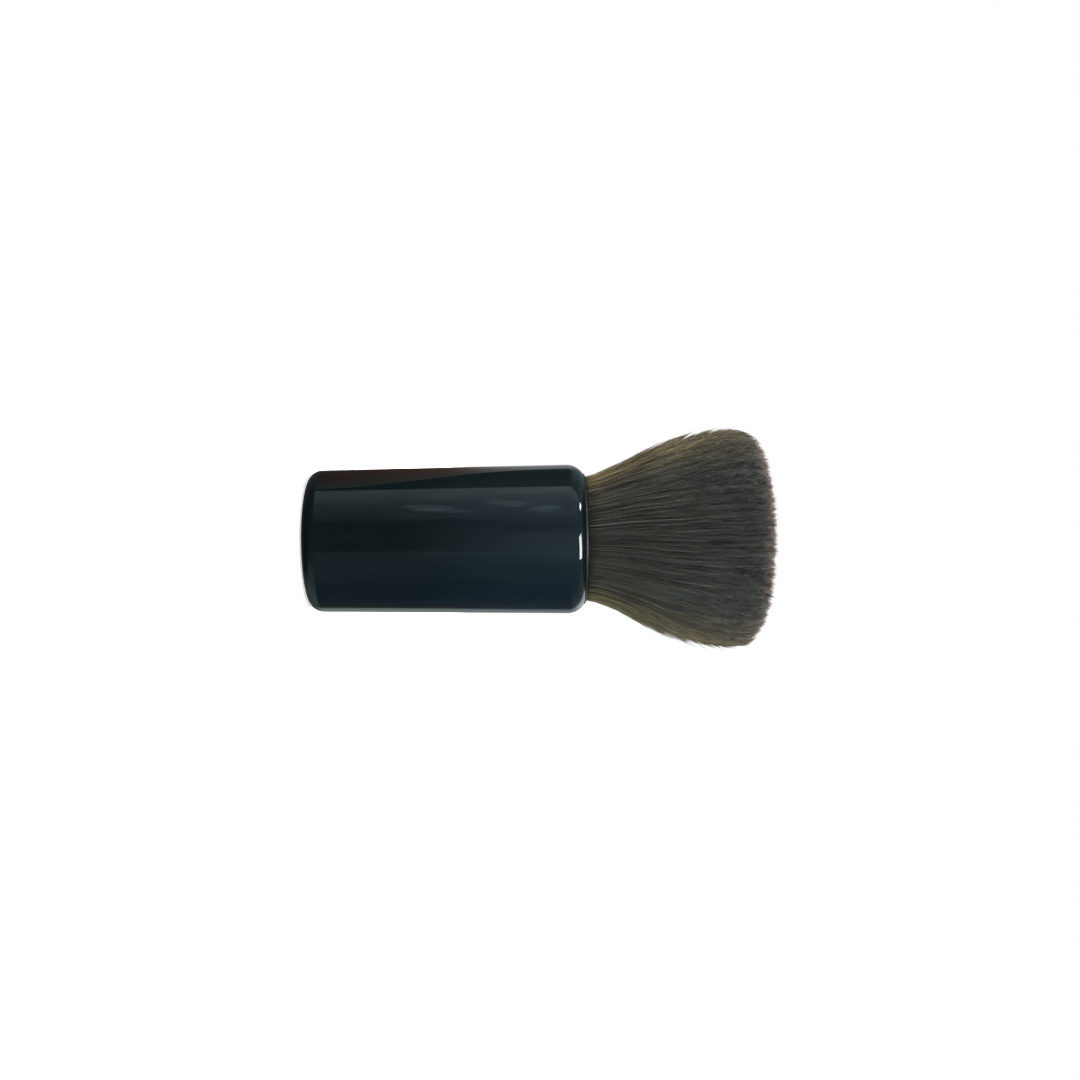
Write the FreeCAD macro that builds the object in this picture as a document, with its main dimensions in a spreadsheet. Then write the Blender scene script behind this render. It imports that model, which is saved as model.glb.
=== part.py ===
"""Neck duster brush: a chunky round handle with a flared tuft of fine bristles.

The handle is a deep glossy cup whose closed butt the brush stands on. A snap-in plug fills the
core hole in its floor. The bristles are one round bundle, packed round an inverted cone, bound
with cord and potted in resin inside a moulded cup. The cup stands on a ledge in the handle, is
bonded to its wall, and a narrow collar ring hides its rim and trims the mouth of the handle.

Frame: +Z runs up the axis from the butt to the bristle tips, and the origin is the centre of the
ring that the brush stands on. All sizes are in millimetres. Each piece is drawn on the axis with
its own lowest point at zero, and its Placement lifts it to its seat.
"""

import FreeCAD, Part
import math
import os

import Sketcher

# The driving dimensions. Each is a cell of the sheet, under this name as its alias.
DIMENSIONS = {
    # handle shell
    "handle_length": 89.0,
    "butt_radius": 22.8,
    "mouth_radius": 24.2,
    "butt_rounding": 4.2,
    "mouth_rounding": 6.2,
    "floor_thickness": 3.6,
    "floor_bore_radius": 18.9,
    "ledge_bore_radius": 19.6,
    "bore_rounding": 2.0,
    "ledge_height": 64.0,
    "socket_radius": 20.6,
    "rebate_radius": 21.5,
    "core_hole_radius": 14.1,
    "plug_recess_radius": 15.1,
    "plug_recess_depth": 2.0,
    # base plug
    "plug_flange_radius": 15.0,
    "plug_flange_thickness": 1.6,
    "plug_edge_rounding": 0.4,
    "plug_height": 6.0,
    "plug_skirt_radius": 14.0,
    "plug_skirt_wall": 1.2,
    "plug_hook_radius": 14.5,
    "plug_hook_height": 1.2,
    "plug_hook_gap": 0.1,
    "plug_slot_width": 2.0,
    "plug_slot_count": 6,
    # bristle cup, and the glue in the groove round it
    "cup_outer_radius": 20.4,
    "cup_inner_radius": 18.8,
    "cup_height": 22.6,
    "cup_floor_thickness": 2.0,
    "cup_hole_radius": 3.05,
    "glue_groove_radius": 19.6,
    "glue_groove_rise": 6.0,
    "glue_groove_height": 4.0,
    # core plug
    "spigot_radius": 3.0,
    "spigot_length": 1.6,
    "core_base_radius": 8.0,
    "core_top_radius": 11.0,
    "core_height": 18.0,
    "core_rounding": 2.0,
    # resin
    "resin_depth": 11.0,
    # binding, wound in the waist of the bristles
    "binding_cord_radius": 0.57,
    "binding_coil_radius": 18.1,
    "binding_pitch": 1.2,
    "binding_turns": 3,
    # collar ring
    "collar_outer_radius": 21.4,
    "collar_inner_radius": 19.8,
    "collar_height": 2.15,
    "collar_outer_rounding": 1.2,
    "collar_inner_rounding": 0.3,
    # bristles: heights are above the resin
    "bristle_gap": 0.1,
    "root_radius": 18.7,
    "waist_radius": 17.4,
    "waist_bottom": 2.2,
    "waist_height": 5.2,
    "neck_radius": 19.7,
    "neck_rise": 11.4,
    "belly_radius": 35.0,
    "belly_rise": 46.6,
    "belly_rounding": 45.0,
    "rim_rise": 67.2,
    "rim_rounding": 7.5,
    "crown_rise": 69.0,
}
SHEET = "Sizes"
TOLERANCE = 1e-4  # mm, for telling which circular edge is meant


class Length:
    """A length in millimetres, together with the expression that works it out in the sheet."""

    def __init__(self, value, text):
        self.value = value
        self.text = text

    def __add__(self, other):
        return Length(self.value + other.value, f"({self.text} + {other.text})")

    def __sub__(self, other):
        return Length(self.value - other.value, f"({self.text} - {other.text})")

    def __mul__(self, other):
        return Length(self.value * other.value, f"({self.text} * {other.text})")

    def __truediv__(self, other):
        return Length(self.value / other.value, f"({self.text} / {other.text})")


class Sizes:
    """The driving dimensions as attributes, each one a Length read from its cell."""

    def __init__(self, sheet):
        for name in DIMENSIONS:
            setattr(self, name, Length(float(sheet.get(name)), f"{SHEET}.{name}"))


AXIS = Length(0.0, "0")  # as a radius, a point on the axis
BASE = Length(0.0, "0")  # as a height, the level at which a piece starts


def make_sheet(doc):
    """The spreadsheet of driving dimensions: each row holds a name and its value."""
    sheet = doc.addObject("Spreadsheet::Sheet", SHEET)
    for row, (name, value) in enumerate(DIMENSIONS.items(), start=1):
        sheet.set(f"A{row}", name)
        sheet.set(f"B{row}", str(value))
        sheet.setAlias(f"B{row}", name)
    doc.recompute()
    return sheet


# --- sketches and features -------------------------------------------------------------------


def make_body(doc, label, lift=None):
    """An empty body on the axis, lifted to the height of its seat."""
    body = doc.addObject("PartDesign::Body", label)
    body.Label = label
    if lift is not None:
        body.setExpression("Placement.Base.z", lift.text)
    return body


def origin_feature(body, role):
    """One of the body's own origin planes or axes."""
    return next(feature for feature in body.Origin.OriginFeatures if feature.Role == role)


def make_sketch(body, name, plane):
    sketch = body.newObject("Sketcher::SketchObject", name)
    sketch.AttachmentSupport = [(origin_feature(body, plane), "")]
    sketch.MapMode = "FlatFace"
    return sketch


def bind_distance(sketch, kind, elements, length):
    """A distance constraint whose value comes from the sheet."""
    index = sketch.addConstraint(Sketcher.Constraint(kind, *elements, length.value))
    sketch.setExpression(f"Constraints[{index}]", length.text)


def join_ends(sketch, count):
    """Joins the start of each edge of a closed outline to the end of the one before it."""
    for edge in range(count):
        sketch.addConstraint(Sketcher.Constraint("Coincident", (edge - 1) % count, 2, edge, 1))


def pin_start(sketch, edge, x, y):
    """Pins the start of an edge at x and y from the sketch's origin."""
    if x is AXIS:
        sketch.addConstraint(Sketcher.Constraint("PointOnObject", edge, 1, -2))
    else:
        bind_distance(sketch, "DistanceX", (-1, 1, edge, 1), x)
    if y is BASE:
        sketch.addConstraint(Sketcher.Constraint("PointOnObject", edge, 1, -1))
    else:
        bind_distance(sketch, "DistanceY", (-1, 1, edge, 1), y)


def dome_arc(rim, crown):
    """The arc, centred on the axis, from a rim up to the crown of a shallow dome."""
    rise = crown.y - rim.y
    radius = (rim.x**2 + rise**2) / (2 * rise)
    centre = FreeCAD.Vector(0, crown.y - radius, 0)
    circle = Part.Circle(centre, FreeCAD.Vector(0, 0, 1), radius)
    return Part.ArcOfCircle(circle, math.atan2(rim.y - centre.y, rim.x), math.pi / 2)


def half_section(body, name, corners, dome_from=None):
    """A closed outline of (radius, height) corners, anticlockwise, to be turned about the axis.

    The corner numbered dome_from is joined to the next one by a dome, and the rest by lines.
    """
    sketch = make_sketch(body, name, "XZ_Plane")
    points = [FreeCAD.Vector(radius.value, height.value, 0) for radius, height in corners]
    for index, start in enumerate(points):
        end = points[(index + 1) % len(points)]
        is_dome = index == dome_from
        sketch.addGeometry(dome_arc(start, end) if is_dome else Part.LineSegment(start, end))
    join_ends(sketch, len(points))
    for index, (radius, height) in enumerate(corners):
        pin_start(sketch, index, radius, height)
    if dome_from is not None:
        sketch.addConstraint(Sketcher.Constraint("PointOnObject", dome_from, 3, -2))
    return sketch


def slot_outline(body, name, inner, outer, width):
    """A rectangle across the X axis of the base plane, from the inner to the outer distance."""
    sketch = make_sketch(body, name, "XY_Plane")
    side = width.value / 2
    low_inner = FreeCAD.Vector(inner.value, -side, 0)
    low_outer = FreeCAD.Vector(outer.value, -side, 0)
    high_outer = FreeCAD.Vector(outer.value, side, 0)
    high_inner = FreeCAD.Vector(inner.value, side, 0)
    for start, end in (
        (low_inner, low_outer),
        (low_outer, high_outer),
        (high_outer, high_inner),
        (high_inner, low_inner),
    ):
        sketch.addGeometry(Part.LineSegment(start, end))
    join_ends(sketch, 4)
    sketch.addConstraint(Sketcher.Constraint("Horizontal", 0))
    sketch.addConstraint(Sketcher.Constraint("Symmetric", 1, 1, 1, 2, -1))
    sketch.addConstraint(Sketcher.Constraint("Horizontal", 2))
    sketch.addConstraint(Sketcher.Constraint("Vertical", 3))
    bind_distance(sketch, "DistanceX", (-1, 1, 0, 1), inner)
    bind_distance(sketch, "DistanceX", (-1, 1, 1, 1), outer)
    bind_distance(sketch, "DistanceY", (1, 1, 1, 2), width)
    return sketch


def turn(body, kind, sketch):
    """A Revolution or a Groove of a half section, all the way round the axis."""
    feature = body.newObject(f"PartDesign::{kind}", f"{sketch.Name}_{kind.lower()}")
    feature.Profile = sketch
    feature.ReferenceAxis = (sketch, ["V_Axis"])
    feature.Angle = 360
    body.Document.recompute()
    return feature


def round_edge(body, radius, height, rounding):
    """Rounds the circular edge of the body's last feature that has this radius and height."""
    base = body.Tip
    names = []
    for index, edge in enumerate(base.Shape.Edges, start=1):
        if edge.Degenerated or not isinstance(edge.Curve, Part.Circle):
            continue
        same_radius = abs(edge.Curve.Radius - radius.value) < TOLERANCE
        if same_radius and abs(edge.Curve.Center.z - height.value) < TOLERANCE:
            names.append(f"Edge{index}")
    fillet = body.newObject("PartDesign::Fillet", "Fillet")
    fillet.Base = (base, names)
    fillet.setExpression("Radius", rounding.text)
    body.Document.recompute()
    return fillet


# --- the pieces ------------------------------------------------------------------------------


def make_handle_shell(doc, size):
    """The deep cup: drafted outside and in, with rounded butt and shoulder and a ledged bore."""
    body = make_body(doc, "handle_shell")
    outside = [
        (AXIS, BASE),
        (size.butt_radius, BASE),
        (size.mouth_radius, size.handle_length),
        (AXIS, size.handle_length),
    ]
    turn(body, "Revolution", half_section(body, "outside", outside))
    round_edge(body, size.butt_radius, BASE, size.butt_rounding)
    round_edge(body, size.mouth_radius, size.handle_length, size.mouth_rounding)

    rebate_height = size.ledge_height + size.cup_height
    bore = [
        (AXIS, size.floor_thickness),
        (size.floor_bore_radius, size.floor_thickness),
        (size.ledge_bore_radius, size.ledge_height),
        (size.socket_radius, size.ledge_height),
        (size.socket_radius, rebate_height),
        (size.rebate_radius, rebate_height),
        (size.rebate_radius, size.handle_length),
        (AXIS, size.handle_length),
    ]
    turn(body, "Groove", half_section(body, "bore", bore))
    round_edge(body, size.floor_bore_radius, size.floor_thickness, size.bore_rounding)

    plug_seat = [
        (AXIS, BASE),
        (size.plug_recess_radius, BASE),
        (size.plug_recess_radius, size.plug_recess_depth),
        (size.core_hole_radius, size.plug_recess_depth),
        (size.core_hole_radius, size.floor_thickness),
        (AXIS, size.floor_thickness),
    ]
    turn(body, "Groove", half_section(body, "plug_seat", plug_seat))
    return body


def make_base_plug(doc, size):
    """The round plug in the floor: a flange, and a slotted skirt with a hook that snaps in."""
    lift = size.plug_recess_depth - size.plug_flange_thickness
    body = make_body(doc, "base_plug", lift)
    skirt_inside = size.plug_skirt_radius - size.plug_skirt_wall
    hook_bottom = size.floor_thickness - lift + size.plug_hook_gap
    profile = [
        (AXIS, BASE),
        (size.plug_flange_radius, BASE),
        (size.plug_flange_radius, size.plug_flange_thickness),
        (size.plug_skirt_radius, size.plug_flange_thickness),
        (size.plug_skirt_radius, hook_bottom),
        (size.plug_hook_radius, hook_bottom),
        (size.plug_skirt_radius, hook_bottom + size.plug_hook_height),
        (size.plug_skirt_radius, size.plug_height),
        (skirt_inside, size.plug_height),
        (skirt_inside, size.plug_flange_thickness),
        (AXIS, size.plug_flange_thickness),
    ]
    turn(body, "Revolution", half_section(body, "profile", profile))
    round_edge(body, size.plug_flange_radius, BASE, size.plug_edge_rounding)

    slot_start = skirt_inside - size.plug_skirt_wall
    slot = slot_outline(body, "slot", slot_start, size.plug_flange_radius, size.plug_slot_width)
    slot.setExpression("AttachmentOffset.Base.z", size.plug_flange_thickness.text)
    pocket = body.newObject("PartDesign::Pocket", "slot_pocket")
    pocket.Profile = slot
    pocket.Type = "ThroughAll"
    pocket.Reversed = True
    doc.recompute()
    slots = body.newObject("PartDesign::PolarPattern", "slots")
    slots.Originals = [pocket]
    slots.Axis = (origin_feature(body, "Z_Axis"), [""])
    slots.Angle = 360
    slots.setExpression("Occurrences", size.plug_slot_count.text)
    body.Tip = slots
    return body


def make_bristle_cup(doc, size):
    """The plain cup that holds the bristle bundle, with a glue groove and a spigot hole."""
    body = make_body(doc, "bristle_cup", size.ledge_height)
    groove_top = size.glue_groove_rise + size.glue_groove_height
    profile = [
        (size.cup_hole_radius, BASE),
        (size.cup_outer_radius, BASE),
        (size.cup_outer_radius, size.glue_groove_rise),
        (size.glue_groove_radius, size.glue_groove_rise),
        (size.glue_groove_radius, groove_top),
        (size.cup_outer_radius, groove_top),
        (size.cup_outer_radius, size.cup_height),
        (size.cup_inner_radius, size.cup_height),
        (size.cup_inner_radius, size.cup_floor_thickness),
        (size.cup_hole_radius, size.cup_floor_thickness),
    ]
    turn(body, "Revolution", half_section(body, "profile", profile))
    return body


def make_cup_glue_ring(doc, size):
    """The band of set glue that fills the cup's groove out to the handle's wall."""
    body = make_body(doc, "cup_glue_ring", size.ledge_height + size.glue_groove_rise)
    profile = [
        (size.glue_groove_radius, BASE),
        (size.socket_radius, BASE),
        (size.socket_radius, size.glue_groove_height),
        (size.glue_groove_radius, size.glue_groove_height),
    ]
    turn(body, "Revolution", half_section(body, "profile", profile))
    return body


def make_core_plug(doc, size):
    """The inverted cone that spreads the bristles, with a spigot that centres it in the cup."""
    lift = size.ledge_height + size.cup_floor_thickness - size.spigot_length
    body = make_body(doc, "core_plug", lift)
    top = size.spigot_length + size.core_height
    profile = [
        (AXIS, BASE),
        (size.spigot_radius, BASE),
        (size.spigot_radius, size.spigot_length),
        (size.core_base_radius, size.spigot_length),
        (size.core_top_radius, top),
        (AXIS, top),
    ]
    turn(body, "Revolution", half_section(body, "profile", profile))
    round_edge(body, size.core_top_radius, top, size.core_rounding)
    return body


def core_radius_at_resin(size):
    """The radius of the core's cone at the surface of the resin."""
    widening = size.core_top_radius - size.core_base_radius
    return size.core_base_radius + widening * size.resin_depth / size.core_height


def make_resin_plug(doc, size):
    """The potting that fills the foot of the cup between the core and the wall."""
    body = make_body(doc, "resin_plug", size.ledge_height + size.cup_floor_thickness)
    profile = [
        (size.core_base_radius, BASE),
        (size.cup_inner_radius, BASE),
        (size.cup_inner_radius, size.resin_depth),
        (core_radius_at_resin(size), size.resin_depth),
    ]
    turn(body, "Revolution", half_section(body, "profile", profile))
    return body


def make_knot_binding(doc, size, bristle_foot):
    """The cord wound in close turns round the waist of the bristle bundle."""
    cord_diameter = size.binding_cord_radius + size.binding_cord_radius
    coil_height = size.binding_pitch * size.binding_turns + cord_diameter
    slack = (size.waist_height - coil_height) / Length(2.0, "2")
    body = make_body(doc, "knot_binding", bristle_foot + size.waist_bottom + slack)
    section = make_sketch(body, "cord_section", "XZ_Plane")
    centre = FreeCAD.Vector(size.binding_coil_radius.value, size.binding_cord_radius.value, 0)
    circle = Part.Circle(centre, FreeCAD.Vector(0, 0, 1), size.binding_cord_radius.value)
    section.addGeometry(circle)
    bind_distance(section, "Radius", (0,), size.binding_cord_radius)
    bind_distance(section, "DistanceX", (-1, 1, 0, 3), size.binding_coil_radius)
    bind_distance(section, "DistanceY", (-1, 1, 0, 3), size.binding_cord_radius)
    winding = body.newObject("PartDesign::AdditiveHelix", "winding")
    winding.Profile = section
    winding.ReferenceAxis = (section, ["V_Axis"])
    winding.Mode = "pitch-turns-angle"
    winding.setExpression("Pitch", size.binding_pitch.text)
    winding.setExpression("Turns", size.binding_turns.text)
    return body


def make_collar_ring(doc, size):
    """The narrow trim ring that stands round the bristles in the mouth of the handle."""
    body = make_body(doc, "collar_ring", size.ledge_height + size.cup_height)
    profile = [
        (size.collar_inner_radius, BASE),
        (size.collar_outer_radius, BASE),
        (size.collar_outer_radius, size.collar_height),
        (size.collar_inner_radius, size.collar_height),
    ]
    turn(body, "Revolution", half_section(body, "profile", profile))
    round_edge(body, size.collar_outer_radius, size.collar_height, size.collar_outer_rounding)
    round_edge(body, size.collar_inner_radius, size.collar_height, size.collar_inner_rounding)
    return body


def make_bristle_knot(doc, size, foot):
    """The bundle of bristles as one soft solid: waist, flared sides, round rim and cut face."""
    body = make_body(doc, "bristle_knot", foot)
    core_top = size.core_height - size.resin_depth + size.bristle_gap
    waist_top = size.waist_bottom + size.waist_height
    cup_rim = size.cup_height - size.cup_floor_thickness - size.resin_depth
    profile = [
        (core_radius_at_resin(size) + size.bristle_gap, BASE),
        (size.root_radius, BASE),
        (size.root_radius, size.waist_bottom),
        (size.waist_radius, size.waist_bottom),
        (size.waist_radius, waist_top),
        (size.root_radius, waist_top),
        (size.root_radius, cup_rim),
        (size.neck_radius, size.neck_rise),
        (size.belly_radius, size.belly_rise),
        (size.belly_radius, size.rim_rise),
        (AXIS, size.crown_rise),
        (AXIS, core_top),
        (size.core_top_radius + size.bristle_gap, core_top),
    ]
    rim = 9
    turn(body, "Revolution", half_section(body, "profile", profile, dome_from=rim))
    round_edge(body, size.belly_radius, size.rim_rise, size.rim_rounding)
    round_edge(body, size.belly_radius, size.belly_rise, size.belly_rounding)
    return body


# --- checks and output -----------------------------------------------------------------------


def check_features(doc):
    """Stops if any object of the document failed, or a cut took nothing away."""
    for item in doc.Objects:
        if "Invalid" in item.State or "Error" in item.State:
            raise RuntimeError(f"{item.Name} failed: {item.State}")
        if item.TypeId == "Sketcher::SketchObject" and not item.FullyConstrained:
            raise RuntimeError(f"{item.Name} is not fully constrained")
        if item.TypeId in ("PartDesign::Groove", "PartDesign::Pocket"):
            if item.Shape.Volume >= item.BaseFeature.Shape.Volume:
                raise RuntimeError(f"{item.Name} cut nothing")


def write_step(body):
    """Checks that a piece is one valid solid, and writes it under its own label."""
    shape = body.Shape
    if shape.isNull() or not shape.isValid() or len(shape.Solids) != 1:
        raise RuntimeError(f"{body.Label} is not one valid solid")
    shape.exportStep(os.path.join("parts", f"{body.Label}.step"))
    box = shape.BoundBox
    print(f"{body.Label}: {shape.Volume / 1000:.2f} cm3, z {box.ZMin:.2f} to {box.ZMax:.2f}")


def main():
    os.makedirs("parts", exist_ok=True)
    doc = FreeCAD.newDocument("neck_duster_brush")
    size = Sizes(make_sheet(doc))
    bristle_foot = size.ledge_height + size.cup_floor_thickness + size.resin_depth
    bodies = [
        make_handle_shell(doc, size),
        make_base_plug(doc, size),
        make_bristle_cup(doc, size),
        make_cup_glue_ring(doc, size),
        make_core_plug(doc, size),
        make_resin_plug(doc, size),
        make_knot_binding(doc, size, bristle_foot),
        make_collar_ring(doc, size),
        make_bristle_knot(doc, size, bristle_foot),
    ]
    doc.recompute()
    check_features(doc)
    for body in bodies:
        write_step(body)


main()
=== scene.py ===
"""Looks for the neck duster brush: glossy handle, and a tuft made of separate strands.

Metres throughout, in the frame of the CAD model: the brush stands on z = 0 with its axis up +Z.
The camera looks at it from -Y and is turned on its side, so that the bristles point to the right
of the picture and -X is up in it.
"""

import math

import bpy
import numpy as np
from mathutils import Matrix, Vector


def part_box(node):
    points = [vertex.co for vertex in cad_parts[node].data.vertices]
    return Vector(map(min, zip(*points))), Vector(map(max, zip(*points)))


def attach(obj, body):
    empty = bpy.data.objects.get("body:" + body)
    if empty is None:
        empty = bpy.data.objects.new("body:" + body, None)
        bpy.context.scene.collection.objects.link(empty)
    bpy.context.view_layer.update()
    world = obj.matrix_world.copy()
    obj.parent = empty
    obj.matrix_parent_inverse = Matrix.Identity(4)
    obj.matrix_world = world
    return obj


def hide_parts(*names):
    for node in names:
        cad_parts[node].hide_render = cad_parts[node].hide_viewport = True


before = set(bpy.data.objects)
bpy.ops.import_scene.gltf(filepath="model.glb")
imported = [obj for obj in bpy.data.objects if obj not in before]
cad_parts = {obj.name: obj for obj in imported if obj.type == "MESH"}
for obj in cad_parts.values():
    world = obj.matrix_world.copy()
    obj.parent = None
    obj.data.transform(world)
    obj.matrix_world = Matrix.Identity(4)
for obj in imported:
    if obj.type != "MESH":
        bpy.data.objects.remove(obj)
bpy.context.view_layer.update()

MM = 0.001
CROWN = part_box("bristle_knot")[1].z  # the height of the bristles' tips
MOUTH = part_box("collar_ring")[1].z  # the height where they leave the collar

# --- the tuft's form -------------------------------------------------------------------------

NECK_RADIUS = 19.5 * MM  # of the bundle where it leaves the collar
FLARE_POINTS = (  # height above the mouth, radius and slope of the outermost strands, if uncut
    (0.0, NECK_RADIUS, 0.40),
    (16.4 * MM, 26.45 * MM, 0.46),
    (32.4 * MM, 33.1 * MM, 0.43),
    (60.0 * MM, 45.3 * MM, 0.45),
)
CUT_DOME = 0.4 * MM  # how far the cut face falls towards its edge as a dome
CUT_EDGE = 29.2 * MM  # how far below the crown the outermost strands end, apart from the dome
CUT_SHARPNESS = 8.0  # the power that keeps that fall close to the edge
CUT_PROUD = 0.5 * MM  # how far the longest tips stand out of the cut face
CUT_TILT = 0.35 * MM  # how much lower the cut is at the +X edge than in the middle
SWAY = 0.35 * MM  # how far the bundle bows to one side near its neck, and then to the other
SWAY_LENGTH = 30 * MM
ROOT_DEPTH = 2.0 * MM  # how far the strands reach down inside the collar


def flare(z):
    """Radius of the outermost strands at height z, had they not been cut."""
    h = z - MOUTH
    radius = np.full(np.shape(h), NECK_RADIUS)
    for (h0, r0, s0), (h1, r1, s1) in zip(FLARE_POINTS, FLARE_POINTS[1:]):
        span = h1 - h0
        t = np.clip((h - h0) / span, 0.0, None)
        curve = (
            (2 * t**3 - 3 * t**2 + 1) * r0
            + (t**3 - 2 * t**2 + t) * span * s0
            + (3 * t**2 - 2 * t**3) * r1
            + (t**3 - t**2) * span * s1
        )
        radius = np.where(h >= h0, curve, radius)
    return radius


def cut_height(u):
    """Height at which a strand is cut, by its share u of the bundle's radius."""
    return CROWN + CUT_PROUD - CUT_DOME * u**2 - CUT_EDGE * u**CUT_SHARPNESS


def cut_share(z):
    """The other way round: the share of the radius at which strands are cut at height z."""
    shares = np.linspace(0.0, 1.0, 500)
    return np.interp(z, cut_height(shares)[::-1], shares[::-1])


def sway(z):
    """How far the bundle's middle lies towards -X at height z."""
    share = np.clip((z - MOUTH) / SWAY_LENGTH, 0.0, 1.0)
    return SWAY * np.sin(1.5 * math.pi * share)


# --- node helpers ----------------------------------------------------------------------------


class Nodes:
    """A material's or world's node tree, with short calls for adding and linking nodes."""

    def __init__(self, owner):
        owner.use_nodes = True
        self.tree = owner.node_tree
        self.tree.nodes.clear()

    def add(self, kind, **settings):
        node = self.tree.nodes.new(f"ShaderNode{kind}")
        for name, value in settings.items():
            setattr(node, name, value)
        return node

    def link(self, source, target):
        self.tree.links.new(source, target)

    def fill(self, node, **values):
        """Sets or links inputs by name: an underscore stands for a space."""
        for name, value in values.items():
            self.feed(node.inputs[name.replace("_", " ")], value)
        return node

    def feed(self, socket, value):
        if isinstance(value, bpy.types.NodeSocket):
            self.link(value, socket)
        else:
            socket.default_value = value

    def attribute(self, name):
        return self.add("Attribute", attribute_name=name).outputs["Fac"]

    def math(self, operation, *values, clamp=False):
        node = self.add("Math", operation=operation, use_clamp=clamp)
        for socket, value in zip(node.inputs, values):
            self.feed(socket, value)
        return node.outputs[0]

    def ramp(self, factor, stops, ease="EASE"):
        node = self.add("ValToRGB")
        node.color_ramp.interpolation = ease
        elements = node.color_ramp.elements
        for _ in range(len(stops) - 2):
            elements.new(0.5)
        for element, (position, colour) in zip(elements, stops):
            element.position = position
        for element, (position, colour) in zip(elements, stops):
            element.color = (*colour, 1.0)
        self.link(factor, node.inputs["Fac"])
        return node.outputs["Color"]

    def mix(self, factor, first, second, blend="MIX"):
        node = self.add("Mix", data_type="RGBA", blend_type=blend)
        self.feed(node.inputs[0], factor)
        self.feed(node.inputs[6], first)
        self.feed(node.inputs[7], second)
        return node.outputs[2]

    def noise(self, scale, detail=2.0, vector=None):
        node = self.add("TexNoise")
        node.inputs["Scale"].default_value = scale
        node.inputs["Detail"].default_value = detail
        if vector is not None:
            self.link(vector, node.inputs["Vector"])
        return node.outputs["Fac"]

    def object_space(self, scale=(1.0, 1.0, 1.0)):
        """The piece's own coordinates, which are the frame's, stretched by a scale."""
        coordinates = self.add("TexCoord")
        mapping = self.add("Mapping")
        mapping.inputs["Scale"].default_value = scale
        self.link(coordinates.outputs["Object"], mapping.inputs["Vector"])
        return mapping.outputs["Vector"]

    def map_range(self, value, low, high, new_low=0.0, new_high=1.0, smooth=False):
        node = self.add("MapRange")
        node.interpolation_type = "SMOOTHSTEP" if smooth else "LINEAR"
        self.feed(node.inputs["Value"], value)
        node.inputs["From Min"].default_value = low
        node.inputs["From Max"].default_value = high
        node.inputs["To Min"].default_value = new_low
        node.inputs["To Max"].default_value = new_high
        return node.outputs["Result"]

    def bump(self, height, strength, distance):
        node = self.add("Bump")
        node.inputs["Strength"].default_value = strength
        node.inputs["Distance"].default_value = distance
        self.link(height, node.inputs["Height"])
        return node.outputs["Normal"]

    def surface(self, **inputs):
        """A Principled surface as the output, with these inputs set or linked."""
        shader = self.fill(self.add("BsdfPrincipled"), **inputs)
        self.link(shader.outputs["BSDF"], self.add("OutputMaterial").inputs["Surface"])


def new_material(name):
    material = bpy.data.materials.new(name)
    return material, Nodes(material)


# --- materials -------------------------------------------------------------------------------


def gloss_plastic(name, dark, light, smooth, dull, wave_scale, wave_height):
    """Polished near-black moulded plastic, with a faint cloud in its colour and a wavy surface."""
    material, n = new_material(name)
    cloud = n.noise(40.0, 3.0, n.object_space())
    colour = n.mix(n.map_range(cloud, 0.35, 0.65), (*dark, 1), (*light, 1))
    smears = n.noise(90.0, 4.0, n.object_space((1.0, 1.0, 0.25)))
    roughness = n.map_range(smears, 0.3, 0.8, smooth, dull)
    waves = n.noise(wave_scale, 1.0, n.object_space((1.0, 1.0, 0.35)))
    normal = n.bump(waves, 0.3, wave_height)
    n.surface(Base_Color=colour, Roughness=roughness, Normal=normal, IOR=1.5)
    return material


def satin_plastic(name, dark, light, roughness):
    """A moulded plastic with a fine spark-eroded grain."""
    material, n = new_material(name)
    grain = n.noise(4000.0, 2.0, n.object_space())
    cloud = n.noise(120.0, 2.0, n.object_space())
    colour = n.mix(n.map_range(cloud, 0.3, 0.7), (*dark, 1), (*light, 1))
    normal = n.bump(grain, 0.4, 0.05 * MM)
    rough = n.map_range(grain, 0.3, 0.7, roughness - 0.06, roughness + 0.06)
    n.surface(Base_Color=colour, Roughness=rough, Normal=normal, IOR=1.5)
    return material


def cloudy_resin(name, dark, light):
    """Set glue or potting, uneven in colour and slightly glossy."""
    material, n = new_material(name)
    cloud = n.noise(300.0, 5.0, n.object_space())
    colour = n.mix(n.map_range(cloud, 0.35, 0.65), (*dark, 1), (*light, 1))
    normal = n.bump(n.noise(900.0, 3.0, n.object_space()), 0.5, 0.1 * MM)
    rough = n.map_range(cloud, 0.3, 0.7, 0.25, 0.45)
    n.surface(Base_Color=colour, Roughness=rough, Normal=normal, IOR=1.52)
    return material


def waxed_thread(name):
    """Twisted thread: slanting lay lines round the cord."""
    material, n = new_material(name)
    wave = n.add("TexWave", wave_type="BANDS", bands_direction="DIAGONAL")
    wave.inputs["Scale"].default_value = 500.0
    wave.inputs["Distortion"].default_value = 1.0
    n.link(n.object_space(), wave.inputs["Vector"])
    colour = n.mix(wave.outputs["Fac"], (0.30, 0.25, 0.18, 1), (0.50, 0.44, 0.34, 1))
    normal = n.bump(wave.outputs["Fac"], 0.8, 0.1 * MM)
    rough = n.map_range(wave.outputs["Fac"], 0.0, 1.0, 0.45, 0.65)
    n.surface(Base_Color=colour, Roughness=rough, Normal=normal)
    return material


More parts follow.
